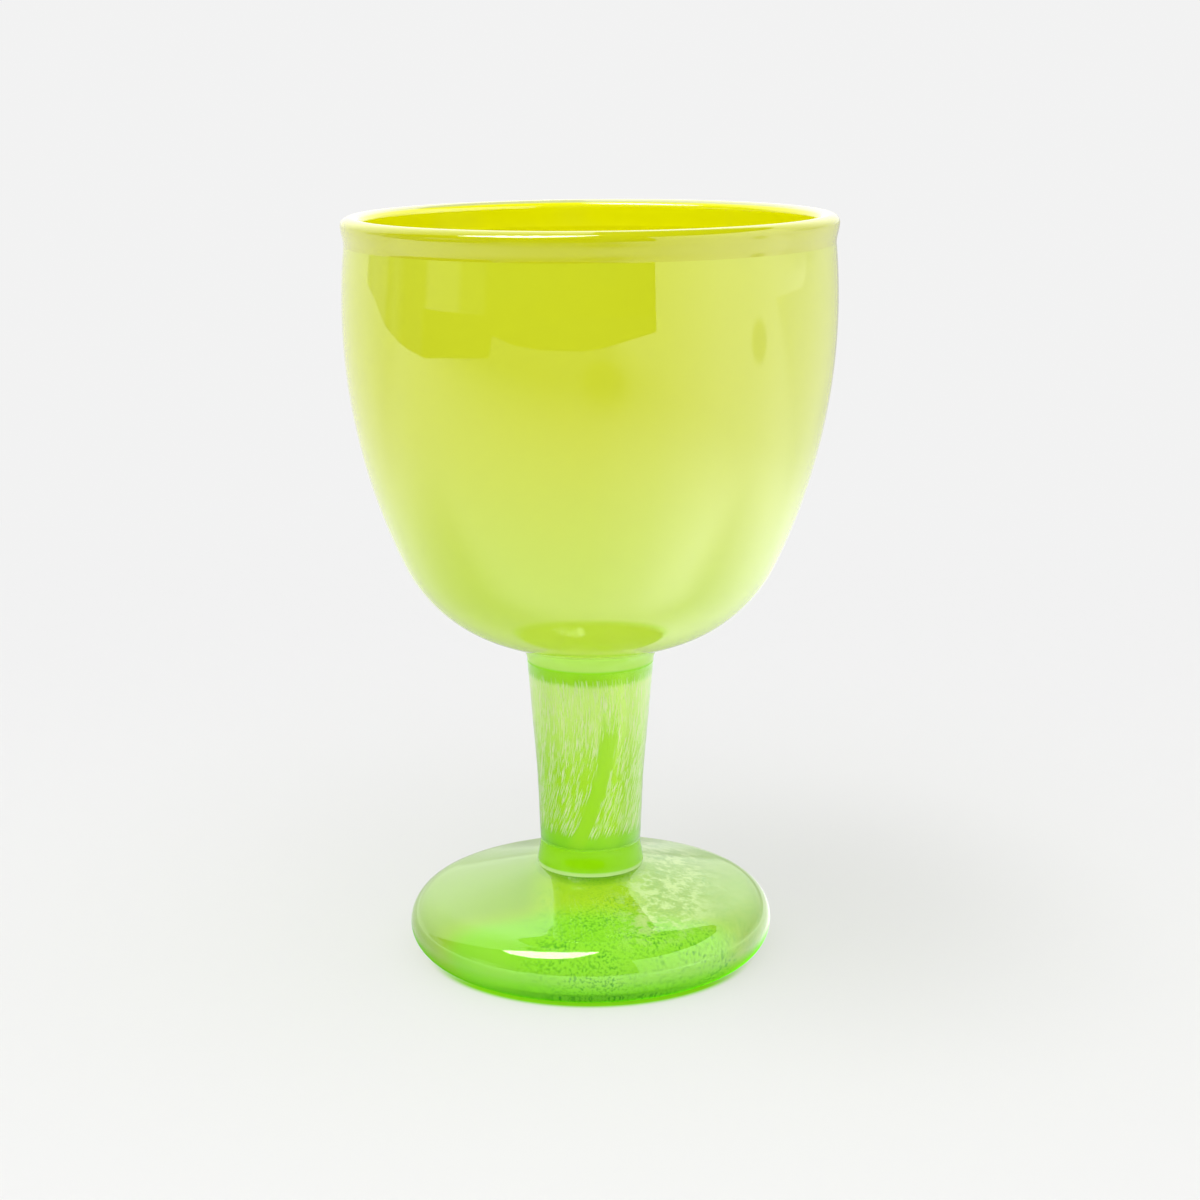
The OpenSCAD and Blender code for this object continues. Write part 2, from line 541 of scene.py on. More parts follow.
def fading(tree, value, start, end, low=0.0):
    """1 up to start, low from end on, and a soft step between them."""
    return eased(tree, value, start, end, 1.0, low)


def mix_value(tree, share, low, high):
    return add(tree, "Mix", {"data_type": "FLOAT"}, _0=share, _2=low, _3=high).outputs[0]


def mix_colour(tree, share, low, high):
    low, high = (rgb(*side) if isinstance(side, tuple) else side for side in (low, high))
    return add(tree, "Mix", {"data_type": "RGBA"}, _0=share, _6=low, _7=high).outputs[2]


def mix_shader(tree, share, low, high):
    return add(tree, "MixShader", _0=share, _1=low, _2=high).outputs[0]


def noise_level(tree, place, scale, detail, roughness=0.5):
    """A level that wanders over the surface. scale is about the number of its clouds to a metre."""
    texture = add(tree, "TexNoise", Vector=place, Scale=scale, Detail=detail, Roughness=roughness)
    return texture.outputs["Fac"]


def soft_mottle(tree, place, scale, low=0.0, high=1.0):
    """A share that wanders between low and high over the surface."""
    level = noise_level(tree, place, scale, MOTTLE_DETAIL, MOTTLE_ROUGHNESS)
    return stepped(tree, level, 0.0, 1.0, low, high)


def from_patch(tree, place, centre, size):
    """The distance from a patch's centre, as a share of the patch's half size."""
    texture = {"vector_type": "TEXTURE"}
    inside = add(tree, "Mapping", texture, Vector=place, Location=centre, Scale=size).outputs[0]
    return vector_node(tree, "LENGTH", inside)


def read_off(tree, value, stops):
    """The value read off straight lines between the stops, which are pairs of input and output."""
    first, last = stops[0][0], stops[-1][0]
    most = max(output for _, output in stops)
    ramp = add(tree, "ValToRGB", Fac=stepped(tree, value, first, last))
    marks = ramp.color_ramp.elements
    while len(marks) < len(stops):
        marks.new(0.5)
    for mark, (place, output) in zip(marks, stops):
        mark.position = (place - first) / (last - first)
        level = output / most
        mark.color = (level, level, level, 1)
    return math_node(tree, "MULTIPLY", ramp.outputs["Color"], most)


def new_material(name):
    material = bpy.data.materials.new(name)
    material.use_nodes = True
    tree = material.node_tree
    tree.nodes.clear()
    return material, tree


def finish_material(tree, shader):
    add(tree, "OutputMaterial", Surface=shader)


# Glass

GLASS_IOR = 1.5

# the slight waves of polished glass: the scale and detail of their noise, their strength and depth
SKIN_WAVES = (90.0, 1.0)
OPAL_WAVES = (70.0, 1.5)
OPAL_RIPPLE = 0.05
RING_RIPPLE = 0.1
WAVE_DEPTH = 0.4 * MM

# how rough the coloured body is under a polished skin
HAZE_ROUGHNESS = 0.6
BODY_ROUGHNESS = 0.5

# the share of light that one skin of clear glass lets through, before its colour
SKIN_PASSES = 0.97

# the clouds in the opal colours: how many to a metre, and by how much they shift one colour to the next
OPAL_CLOUDS = 38.0
OPAL_CLOUD_SHIFT = 0.12

# the weak mirror skin of the two collars, the clouds in them, and how soft their line ends
RING_IOR = 1.18
RING_SKIN_ROUGHNESS = 0.02
RING_CLOUDS = 260.0
RING_CLOUD_SHARE = 0.25
RING_LINE_BLUR = 0.5 * MM

# The colours of the lip: its own bright yellow inside the mouth, lifted as painted light, a pale painted
# highlight over the crest, and its own deep yellow outside; and the distances from the axis between which
# one passes into the next
LIP_BRIGHT = (0.98, 0.98, 0.0005)
PAINTED_CREST_HIGHLIGHT = (0.64, 0.67, 0.30)
LIP_DEEP = (0.56, 0.585, 0.0005)
CREST_START = (43.8 * MM, 44.2 * MM)
CREST_END = (44.9 * MM, 46.0 * MM)


def waved_normal(tree, place, ripple, waves=SKIN_WAVES):
    """The normal of a polished surface with slight waves in it."""
    height = noise_level(tree, place, *waves)
    return add(tree, "Bump", Height=height, Strength=ripple, Distance=WAVE_DEPTH).outputs["Normal"]


def coated(tree, colour, roughness, normal, skin_roughness=0.0, skin_ior=GLASS_IOR):
    """Coloured glass under a polished clear skin."""
    body = add(
        tree,
        "BsdfPrincipled",
        Base_Color=colour,
        Roughness=roughness,
        Specular_IOR_Level=0.0,
        Coat_Weight=1.0,
        Coat_Roughness=skin_roughness,
        Coat_IOR=skin_ior,
        Coat_Normal=normal,
    )
    return body.outputs[0]


def lamps_pass(tree, glass, tint):
    """The glass, but rays from lamps go straight through it and take its tint, as in bright caustics."""
    path = add(tree, "LightPath")
    skip = math_node(tree, "MAXIMUM", path.outputs["Is Shadow Ray"], path.outputs["Is Diffuse Ray"])
    clear = add(tree, "BsdfTransparent", Color=rgb(*tint))
    return mix_shader(tree, skip, glass, clear.outputs[0])


def clear_glass(name, tint, mirror_tint, haze, haze_colour, ripple):
    """Polished clear glass.

    tint is what is left of the light that has gone in and out of it, and mirror_tint colours what it
    mirrors head-on. haze is the share of its own colour, haze_colour, that it shows.
    """
    material, tree = new_material(name)
    normal = waved_normal(tree, object_place(tree), ripple)
    glass = add(
        tree,
        "BsdfPrincipled",
        Base_Color=rgb(*tint),
        Roughness=0.0,
        IOR=GLASS_IOR,
        Transmission_Weight=1.0,
        Specular_Tint=rgb(*mirror_tint),
        Normal=normal,
    )
    body = coated(tree, rgb(*haze_colour), HAZE_ROUGHNESS, normal)
    skin_tint = [SKIN_PASSES * math.sqrt(value) for value in tint]
    finish_material(tree, lamps_pass(tree, mix_shader(tree, haze, glass.outputs[0], body), skin_tint))
    return material


def foot_glass():
    return clear_glass(
        "foot_clear_green",
        tint=(0.93, 0.985, 0.78),
        mirror_tint=(0.9, 0.95, 0.7),
        haze=0.03,
        haze_colour=(0.50, 0.90, 0.30),
        ripple=0.08,
    )


def stem_glass():
    return clear_glass(
        "stem_clear_green",
        tint=(0.94, 0.985, 0.80),
        mirror_tint=(0.7, 0.9, 0.15),
        haze=0.02,
        haze_colour=(0.60, 0.90, 0.30),
        ripple=0.10,
    )


def joint_clear():
    """The face at which two pieces of clear glass are fused: nothing shows there."""
    material, tree = new_material("fused_joint")
    finish_material(tree, add(tree, "BsdfTransparent", Color=rgb(*WHITE)).outputs[0])
    return material


def opal_cloud(tree, place):
    return soft_mottle(tree, place, OPAL_CLOUDS, -OPAL_CLOUD_SHIFT, OPAL_CLOUD_SHIFT)


def by_height(low_colour, high_colour, low, high):
    """What makes a slightly cloudy colour that goes from one to another between two heights."""
    def colour_at(tree, place):
        share = eased(tree, part_of(tree, place, "Z"), low, high)
        share = math_node(tree, "ADD", share, opal_cloud(tree, place))
        return mix_colour(tree, share, low_colour, high_colour)
    return colour_at


def lip_colour(tree, place):
    """Bright yellow inside the mouth, lifted as painted light, a pale painted highlight over the crest,
    and deep yellow outside.
    """
    radius = vector_node(tree, "LENGTH", vector_node(tree, "MULTIPLY", place, (1, 1, 0)))
    cloud = opal_cloud(tree, place)
    on_crest = math_node(tree, "ADD", eased(tree, radius, *CREST_START), cloud)
    outside = math_node(tree, "ADD", eased(tree, radius, *CREST_END), cloud)
    # pale over the crest: a painted highlight
    inner = mix_colour(tree, on_crest, LIP_BRIGHT, PAINTED_CREST_HIGHLIGHT)
    return mix_colour(tree, outside, inner, LIP_DEEP)


def opal(name, colour_at):
    """Opal glass under a polished clear skin. colour_at makes the nodes of its colour."""
    material, tree = new_material(name)
    place = object_place(tree)
    normal = waved_normal(tree, place, OPAL_RIPPLE, OPAL_WAVES)
    finish_material(tree, coated(tree, colour_at(tree, place), BODY_ROUGHNESS, normal))
    return material


def bowl_lime():
    colour_at = by_height(
        low_colour=(0.54, 0.74, 0.055), high_colour=(0.60, 0.665, 0.014), low=64 * MM, high=122 * MM
    )
    return opal("bowl_lime", colour_at)


def lining_yellow():
    # its own yellow, darker deep in the bowl as painted shade and brighter towards the mouth as painted
    # light
    colour_at = by_height(
        low_colour=(0.72, 0.72, 0.001), high_colour=(0.94, 0.93, 0.001), low=100 * MM, high=136 * MM
    )
    return opal("bowl_lining_yellow", colour_at)


def lip_yellow():
    return opal("lip_yellow", lip_colour)


def ring_glass(name, deep, cloudy, line, line_top):
    """Deep glass with clouds in it and a line of another colour at its foot, under a weak mirror skin."""
    material, tree = new_material(name)
    place = object_place(tree)
    cloud = soft_mottle(tree, place, RING_CLOUDS, 0.0, RING_CLOUD_SHARE)
    on_line = fading(tree, part_of(tree, place, "Z"), line_top - RING_LINE_BLUR, line_top)
    colour = mix_colour(tree, on_line, mix_colour(tree, cloud, deep, cloudy), line)
    normal = waved_normal(tree, place, RING_RIPPLE)
    finish_material(tree, coated(tree, colour, BODY_ROUGHNESS, normal, RING_SKIN_ROUGHNESS, RING_IOR))
    return material


def foot_ring():
    return ring_glass(
        "foot_collar_green",
        deep=(0.31, 0.74, 0.0),
        cloudy=(0.46, 0.90, 0.02),
        line=(0.60, 0.86, 0.30),
        line_top=FOOT_TOP + 0.9 * MM,
    )


def neck_ring():
    return ring_glass(
        "bowl_collar_green",
        deep=(0.54, 0.88, 0.13),
        cloudy=(0.64, 0.92, 0.30),
        line=(0.36, 0.84, 0.004),
        line_top=STEM_TOP + 0.7 * MM,
    )


# The gathers inside the clear glass of stem and foot

CORE_ROUGHNESS = 0.7

# the rod's greens from its foot up, at the neck and in the band, the colour of its streaks, and how
# much of it isn't clear
ROD_FOOT = (0.30, 0.76, 0.002)
ROD_LOW = (0.43, 0.82, 0.010)
ROD_HIGH = (0.72, 0.97, 0.31)
ROD_NECK = (0.38, 0.80, 0.003)
ROD_BAND = (0.36, 0.78, 0.004)
ROD_STREAK = (0.86, 0.97, 0.55)
ROD_SOLID = 0.94
ROD_TINT = (0.75, 0.95, 0.35)

# where those greens pass into one another, as heights and as shares of the stem's length
ROD_FOOT_END = (STEM_BASE + 1.5 * MM, STEM_BASE + 5 * MM)
ROD_NECK_START = (STEM_TOP - 3.4 * MM, STEM_TOP - 2.2 * MM)
ROD_PALE_RISE = (0.35, 0.9)

# the streaks in the rod: their noise, with its scale across and along the rod, the levels of it at
# their edges, and the same for the patches in which they are dense
STREAK_NOISE = ((1500, 1500, 170), 3.0, 0.6)
STREAK_EDGE = (0.54, 0.68)
PATCH_NOISE = ((170, 170, 20), 1.0)
PATCH_EDGE = (0.4, 0.6)
PATCH_LEAST = 0.25
# they grow stronger up the stem, from this share on
STREAK_RISE = (0.1, 1.0)
STREAK_LEAST = 0.5

# the edges of the band, as shares of half its width, and how it fades up the stem
BAND_OUTER_SHARE = 1.6
BAND_INNER_SHARE = 0.6
BAND_FADE = (0.6, 0.85)
BAND_MOST = 0.9
BAND_LEAST = 0.1

# the foot's greens: in the middle, and in front, where the brighter green is painted light, each with its
# clouds; at the sides, where the darker green is painted shade; and how much of them isn't clear
FOOT_MIDDLE = ((0.52, 0.84, 0.020), (0.64, 0.88, 0.050))
FOOT_FRONT = ((0.33, 0.91, 0.015), (0.44, 0.94, 0.08))
FOOT_SIDES = (0.42, 0.66, 0.08)
FOOT_CLOUDS = 60.0
FOOT_SOLID = 0.78
FOOT_TINT = (0.85, 0.98, 0.60)

# where the greens of front and sides begin
FRONT_END = (-23 * MM, -15 * MM)
SIDES_OUT = (7 * MM, 14 * MM)
SIDES_BACK = (-24 * MM, -14 * MM)

# the darker powder: scale, detail and roughness of the noise of its grains and their clumps, and the
# levels of that noise at their edges
POWDER = (0.09, 0.50, 0.02)
GRAINS = (1900.0, 2.0, 0.7)
GRAIN_EDGE = (0.53, 0.58)
CLUMPS = (150.0, 2.0)
CLUMP_EDGE = (0.40, 0.60)
CLUMP_SHARES = (0.35, 0.95)
# there is none far left, and behind the very front there is less of it
POWDER_LEFT = (-17 * MM, -7 * MM)
POWDER_FRONT = (-24 * MM, -10 * MM)
POWDER_BEHIND = 0.45

# the painted caustic at the upper right of the gather: pale patches of light focused through the glass,
# given like the grains; they are weaker far right
PAINTED_CAUSTIC = (0.78, 0.95, 0.42)
CAUSTIC_NOISE = (320.0, 4.0, 0.8)
CAUSTIC_EDGE = (0.44, 0.60)
CAUSTIC_LEFT = (2 * MM, 12 * MM)
CAUSTIC_FOOT = (9 * MM, 11.5 * MM)
CAUSTIC_RIGHT = (17 * MM, 27 * MM)
CAUSTIC_LEAST = 0.2

# the pale threads: their colour, and the scale and range of its unevenness
THREAD_WHITE = (0.98, 1.0, 0.88)
THREAD_MOTTLE = 900.0
THREAD_SHADES = (0.85, 1.15)


def core_shader(tree, colour, solid, tint):
    """A hazy gather inside clear glass: mostly its own colour, and a little of what is behind it."""
    haze = add(
        tree, "BsdfPrincipled", Base_Color=colour, Roughness=CORE_ROUGHNESS, Specular_IOR_Level=0.0
    )
    clear = add(tree, "BsdfTransparent", Color=rgb(*tint))
    finish_material(tree, mix_shader(tree, solid, clear.outputs[0], haze.outputs[0]))


def untwisted(tree, place, up):
    """The place that a point of the rod had before the stem was twisted."""
    eased_up = product(tree, up, one_minus(tree, product(tree, up, TWIST_EASE)))
    turn = product(tree, eased_up, -TWIST)
    about_z = {"rotation_type": "Z_AXIS"}
    return add(tree, "VectorRotate", about_z, Vector=place, Center=(0, 0, 0), Angle=turn).outputs[0]


def drawn_noise(tree, straight, scale, detail, roughness=0.5):
    """Noise that was drawn out along the stem. scale is its scale along each axis."""
    drawn = add(tree, "Mapping", Vector=straight, Scale=scale).outputs[0]
    return noise_level(tree, drawn, 1.0, detail, roughness)


def streak_strength(tree, straight, up):
    """How much of the streak colour a point of the rod has, before band, foot and neck."""
    streaks = stepped(tree, drawn_noise(tree, straight, *STREAK_NOISE), *STREAK_EDGE)
    patches = drawn_noise(tree, straight, *PATCH_NOISE)
    density = stepped(tree, patches, *PATCH_EDGE, PATCH_LEAST, 1.0)
    return product(tree, streaks, density, eased(tree, up, *STREAK_RISE, STREAK_LEAST, 1.0))


def band_strength(tree, straight, up):
    """1 in the band of plain green, which fades up the stem."""
    around = vector_node(tree, "NORMALIZE", vector_node(tree, "MULTIPLY", straight, (1, 1, 0)))
    toward_band = (math.cos(BAND_ANGLE), math.sin(BAND_ANGLE), 0)
    facing = vector_node(tree, "DOT_PRODUCT", around, toward_band)
    outer = math.cos(BAND_OUTER_SHARE * BAND_HALF)
    inner = math.cos(BAND_INNER_SHARE * BAND_HALF)
    fade = eased(tree, up, *BAND_FADE, BAND_MOST, BAND_LEAST)
    return product(tree, eased(tree, facing, outer, inner), fade)


def streaked_core():
    """The rod of the stem: green glass with pale streaks that were drawn out and twisted with it."""
    material, tree = new_material("stem_streaked_green")
    place = object_place(tree)
    height = part_of(tree, place, "Z")
    up = stepped(tree, height, STEM_BASE, STEM_TOP)
    straight = untwisted(tree, place, up)
    in_band = band_strength(tree, straight, up)
    above_foot = eased(tree, height, *ROD_FOOT_END)
    below_neck = fading(tree, height, *ROD_NECK_START)
    green = mix_colour(tree, above_foot, ROD_FOOT, ROD_LOW)
    green = mix_colour(tree, eased(tree, up, *ROD_PALE_RISE), green, ROD_HIGH)
    green = mix_colour(tree, below_neck, ROD_NECK, green)
    green = mix_colour(tree, in_band, green, ROD_BAND)
    streaks = streak_strength(tree, straight, up)
    share = product(tree, streaks, above_foot, one_minus(tree, in_band), below_neck)
    core_shader(tree, mix_colour(tree, share, green, ROD_STREAK), ROD_SOLID, ROD_TINT)
    return material


def foot_greens(tree, place, x, y):
    """The greens of the foot's gather: middle, front brightened as painted light, and sides darkened as
    painted shade.
    """
    cloud = soft_mottle(tree, place, FOOT_CLOUDS)
    middle = mix_colour(tree, cloud, *FOOT_MIDDLE)
    front = mix_colour(tree, cloud, *FOOT_FRONT)
    green = mix_colour(tree, fading(tree, y, *FRONT_END), middle, front)
    outward = eased(tree, math_node(tree, "ABSOLUTE", x), *SIDES_OUT)
    at_sides = product(tree, outward, eased(tree, y, *SIDES_BACK))
    return mix_colour(tree, at_sides, green, FOOT_SIDES)


def powder_strength(tree, place, x, y):
    """How much of the powder's colour a point of the foot's gather has."""
    dark = stepped(tree, noise_level(tree, place, *GRAINS), *GRAIN_EDGE)
    clumped = stepped(tree, noise_level(tree, place, *CLUMPS), *CLUMP_EDGE, *CLUMP_SHARES)
    in_front = fading(tree, y, *POWDER_FRONT, POWDER_BEHIND)
    return product(tree, dark, clumped, eased(tree, x, *POWDER_LEFT), in_front)


def caustic_strength(tree, place, x, z):
    """How much of the painted caustic's pale colour a point of the foot's gather has."""
    pale = eased(tree, noise_level(tree, place, *CAUSTIC_NOISE), *CAUSTIC_EDGE)
    on_right = product(tree, eased(tree, x, *CAUSTIC_LEFT), fading(tree, x, *CAUSTIC_RIGHT, CAUSTIC_LEAST))
    return product(tree, pale, on_right, eased(tree, z, *CAUSTIC_FOOT))


def powdered_core():
    """The gather of the foot: green glass full of darker powder."""
    material, tree = new_material("foot_powdered_green")
    place = object_place(tree)
    x, y, z = (part_of(tree, place, axis) for axis in "XYZ")
    specked = mix_colour(tree, powder_strength(tree, place, x, y), foot_greens(tree, place, x, y), POWDER)
    # pale patches at the upper right: painted caustic light
    colour = mix_colour(tree, caustic_strength(tree, place, x, z), specked, PAINTED_CAUSTIC)
    core_shader(tree, colour, FOOT_SOLID, FOOT_TINT)
    return material


def streak_white():
    """The pale threads of the stem, a little uneven in shade."""
    material, tree = new_material("streak_white")
    shade = soft_mottle(tree, object_place(tree), THREAD_MOTTLE, *THREAD_SHADES)
    shaded = {"data_type": "RGBA", "blend_type": "MULTIPLY"}
    colour = add(tree, "Mix", shaded, _0=1.0, _6=rgb(*THREAD_WHITE), _7=shade).outputs[2]
    body = add(tree, "BsdfPrincipled", Base_Color=colour, Roughness=HAZE_ROUGHNESS)
    finish_material(tree, body.outputs[0])
    return material


# The room, as the photograph's reflections show it: white paper and walls, and a dark side in front.
# Azimuth is measured in degrees from the camera's side of the goblet, and grows to the right. Where
# the Y or Z of a direction is given, the direction has a length of 1.

# how bright the white parts of the room look in the goblet's reflections, by azimuth
ROOM_SHINE = [
    (-180, 0.75), (-164, 0.75), (-147, 1.0), (-121, 1.35), (-100, 1.35), (-50, 1.5), (0, 1.6), (29, 2.1),
    (60, 3.4), (90, 3.6), (106, 3.3), (128, 2.4), (147, 1.4), (164, 0.85), (180, 0.75),
]
# and how bright the dark side looks: curtains and stands with lighter gaps
DARK_SHINE = [
    (-121, 1.1), (-118, 0.75), (-115, 0.95), (-106, 0.9), (-103, 0.45), (-98, 0.7), (-92, 0.35),
    (-80, 0.4), (-77, 1.1), (-62, 1.05), (-59, 0.5), (-49, 0.45), (-46, 0.2), (29, 0.12),
]
# and how far below level the front edge of the paper lies as seen from the bowl
PAPER_EDGE = [
    (-121, 2.0), (-113, 3.4), (-105, 5.9), (-94, 8.1), (-78, 10.3), (-44.5, 10.3), (-43.5, 6.3),
    (-33, 8.0), (-21, 8.8), (-4, 9.0), (4, 8.6), (17, 7.1), (29, 5.8),
]
PAPER_EDGE_BLUR = 0.15

# the azimuths at which the dark side begins and ends, and how steeply the foot of the window that
# tops it climbs to the right
DARK_LEFT = -121
DARK_RIGHT = 29
WINDOW_SLOPE = 1.2
# it is also dark above the panels on the right, and overhead as far back as this Y of a direction
PANEL_TOP = 43
CEILING = 66
OVERHEAD_BACK = 0.08

# higher up, where only the foot meets it, the dark side looks as dark as this
HIGH_START = (6, 12)
HIGH_DARK = 0.12
# a low stand in front, to the right of this azimuth
STAND_LEFT = (-81, -79)
STAND_TOP = -3.0
STAND_SHINE = 0.2

# a darker round thing on the right, in degrees of azimuth and elevation
BLOB_PLACE = (80.5, -8.2, 0)
BLOB_SIZE = (4.4, 3.2, 1)
BLOB_EDGE = (0.7, 1.3)
BLOB_SHINE = 0.6

# the brighter wall behind: how bright it is low and high up, the Zs between which it grows so, and
# the Y and Z at which it starts
WALL_SHINES = (1.45, 2.1)
WALL_RISE = (0.05, 0.45)
WALL_FRONT = (0.05, 0.5)
WALL_FOOT = (-0.02, 0.05)

# what the camera sees round the goblet, and how bright the dark side is through the glass
BACKGROUND_WHITE = 0.89
THROUGH_DARK = 0.35

# the light of the room on the goblet and the paper, low and high up, and the Zs between which it grows
SKY_SHINES = (0.40, 1.5)
SKY_RISE = (0.4, 0.85)


def room_angles(tree, direction):
    """The azimuth and the elevation of a direction of length 1."""
    toward = product(tree, part_of(tree, direction, "Y"), -1.0)
    azimuth = math_node(tree, "ARCTAN2", part_of(tree, direction, "X"), toward)
    elevation = math_node(tree, "ARCSINE", part_of(tree, direction, "Z"))
    return math_node(tree, "DEGREES", azimuth), math_node(tree, "DEGREES", elevation)


def in_the_dark(tree, direction, azimuth, elevation):
    """1 where the room is dark: in front between paper and window, high on the right, and overhead."""
    in_sector = product(tree, is_below(tree, azimuth, DARK_RIGHT), is_above(tree, azimuth, DARK_LEFT))
    edge = product(tree, read_off(tree, azimuth, PAPER_EDGE), -1.0)
    over_edge = math_node(tree, "SUBTRACT", elevation, edge)
    above_paper = eased(tree, over_edge, -PAPER_EDGE_BLUR, PAPER_EDGE_BLUR)
    window_foot = product(tree, math_node(tree, "SUBTRACT", azimuth, DARK_LEFT), WINDOW_SLOPE)
    under_window = is_below(tree, elevation, window_foot)
    front = product(tree, in_sector, above_paper, under_window)
    on_right = product(tree, is_above(tree, azimuth, DARK_RIGHT), is_above(tree, elevation, PANEL_TOP))
    not_behind = is_below(tree, part_of(tree, direction, "Y"), OVERHEAD_BACK)
    overhead = product(tree, is_above(tree, elevation, CEILING), not_behind)
    return math_node(tree, "MAXIMUM", math_node(tree, "MAXIMUM", front, on_right), overhead)


def room_shine(tree, direction):
    """What the goblet's reflections meet in this direction.

    That is the level of the white parts, the level of the dark side, and 1 where it is dark.
    """
    unit = vector_node(tree, "NORMALIZE", direction)
    azimuth, elevation = room_angles(tree, unit)
    angles = add(tree, "CombineXYZ", X=azimuth, Y=elevation).outputs[0]
    blob = eased(tree, from_patch(tree, angles, BLOB_PLACE, BLOB_SIZE), *BLOB_EDGE, BLOB_SHINE, 1.0)
    white = product(tree, read_off(tree, azimuth, ROOM_SHINE), blob)
    stand = product(tree, eased(tree, azimuth, *STAND_LEFT), is_below(tree, elevation, STAND_TOP))
    dark = mix_value(tree, stand, read_off(tree, azimuth, DARK_SHINE), STAND_SHINE)
    dark = mix_value(tree, eased(tree, elevation, *HIGH_START), dark, HIGH_DARK)
    return white, dark, in_the_dark(tree, unit, azimuth, elevation)


def with_wall(tree, direction, white):
    """The white level, with the brighter wall behind the goblet, which grows brighter upwards."""
    unit = vector_node(tree, "NORMALIZE", direction)
    height = part_of(tree, unit, "Z")
    far_enough = eased(tree, part_of(tree, unit, "Y"), *WALL_FRONT)
    behind = product(tree, far_enough, eased(tree, height, *WALL_FOOT))
    return mix_value(tree, behind, white, eased(tree, height, *WALL_RISE, *WALL_SHINES))


def make_world():
    world = bpy.data.worlds.new("world")
    scene.world = world
    world.use_nodes = True
    tree = world.node_tree
    tree.nodes.clear()
    path = add(tree, "LightPath")
    direction = add(tree, "TexCoord").outputs["Generated"]
    white, dark, is_dark = room_shine(tree, direction)
    mirrored = mix_value(tree, is_dark, with_wall(tree, direction, white), dark)
    through = mix_value(tree, is_dark, BACKGROUND_WHITE, THROUGH_DARK)
    sky = eased(tree, part_of(tree, direction, "Z"), *SKY_RISE, *SKY_SHINES)
    lit = mix_value(tree, path.outputs["Is Glossy Ray"], sky, mirrored)
    bent = mix_value(tree, path.outputs["Is Transmission Ray"], lit, through)
    shown = mix_value(tree, path.outputs["Is Camera Ray"], bent, BACKGROUND_WHITE)
    background = add(tree, "Background", Color=rgb(*WHITE), Strength=shown)
    add(tree, "OutputWorld", Surface=background.outputs[0])


# The paper under and behind the goblet

# the paper lies a hair under the goblet, so that the two don't share a face
TABLE_DROP = 0.05 * MM

# the sweep: where its level part starts and ends, its half width, the bend up and how high it goes
FLOOR_FRONT = -3.0
FLOOR_BACK = 1.1
FLOOR_HALF = 3.0
FLOOR_BEND_R = 0.5
FLOOR_BEND_STEPS = 24
FLOOR_TOP = 3.0

# the paper's own white: for the room's light, and as the camera and the glass see it, with fine grain
PAPER_WHITE = 0.93
PAPER_SEEN = 0.80
GRAIN_SCALE = 700.0
GRAIN_DEPTH = 0.006

# the plain background takes its place by this share near the goblet, and wholly from the far end on
PAPER_GLOW = 0.5
TABLE_FADE = (50 * MM, 500 * MM)

# the light that the foot throws onto the paper right in front of it
STRIP_GREEN = (0.33, 0.76, 0.02)
STRIP_EDGE = (32.6 * MM, 34.4 * MM)
STRIP_BACK = (-24 * MM, -4 * MM)

# the soft shadow to the right of the foot
SHADE_PLACE = (0.058, 0.022, 0)
SHADE_SIZE = (0.055, 0.080, 1)
SHADE_EDGE = (0.1, 1.3)
SHADE_DEPTH = 0.92

# the light that the foot gathers on the paper under itself, as seen through its glass
UNDER_SHARE = 0.6
UNDER_PALE = (0.72, 0.90, 0.42)
UNDER_GREEN = (0.66, 0.98, 0.12)
UNDER_EDGE = (33 * MM, 37 * MM)
UNDER_END = (FOOT_R, FOOT_R + 6 * MM)

# Mirrored in the goblet, the paper is as bright as the room is in the same direction from here
VANTAGE = (0, 0, 125 * MM)
# in front it grows brighter towards the goblet as a painted pool of light, and far right it doesn't
FRONT_RISE = (-0.5, -0.07)
FRONT_SHINES = (0.55, 1.65)
RIGHT_START = (0.05, 0.3)
# beside and behind the goblet it is darker close by: painted shade of the goblet
BESIDE_START = (-70 * MM, -20 * MM)
NEAR_FADE = (50 * MM, 260 * MM)
NEAR_SHINE = 0.4
# and behind it keeps this share of its brightness
BEHIND_START = (0.03, 0.15)
BEHIND_SHINE = 0.80
# a soft patch of painted shade in front
FRONT_SHADE_PLACE = (0.05, -0.50, 0)
FRONT_SHADE_SIZE = (0.10, 0.20, 1)
FRONT_SHADE_EDGE = (0.4, 1.1)
FRONT_SHADE_SHINE = 0.6
# and close round the foot, painted green shade: its contact shadow, lit only through its green glass
FOOT_GREEN_SHADE = (0.12, 0.75, 0.0)
FOOT_GREEN_SHADE_EDGE = (35 * MM, 46 * MM)


def emission(tree, colour, strength):
    return add(tree, "Emission", Color=colour, Strength=strength).outputs[0]


def seen_paper(tree, place, from_axis, path):
    """The paper with strip and shadow, which fades into the plain background away from the goblet."""
    seen = path.outputs["Is Camera Ray"]
    bent = math_node(tree, "MAXIMUM", seen, path.outputs["Is Transmission Ray"])
    grain = soft_mottle(tree, place, GRAIN_SCALE, -GRAIN_DEPTH, GRAIN_DEPTH)
    white = math_node(tree, "ADD", mix_value(tree, bent, PAPER_WHITE, PAPER_SEEN), grain)
    before_foot = fading(tree, part_of(tree, place, "Y"), *STRIP_BACK)
    strip = product(tree, fading(tree, from_axis, *STRIP_EDGE), before_foot, seen)
    shade = eased(tree, from_patch(tree, place, SHADE_PLACE, SHADE_SIZE), *SHADE_EDGE, SHADE_DEPTH, 1.0)
    colour = mix_colour(tree, strip, product(tree, white, shade), STRIP_GREEN)
    paper = add(tree, "BsdfDiffuse", Color=colour).outputs[0]
    background = emission(tree, rgb(*WHITE), product(tree, shade, BACKGROUND_WHITE))
    fade = eased(tree, from_axis, *TABLE_FADE, PAPER_GLOW, 1.0)
    glow = product(tree, fade, one_minus(tree, strip), bent)
    return mix_shader(tree, glow, paper, background)


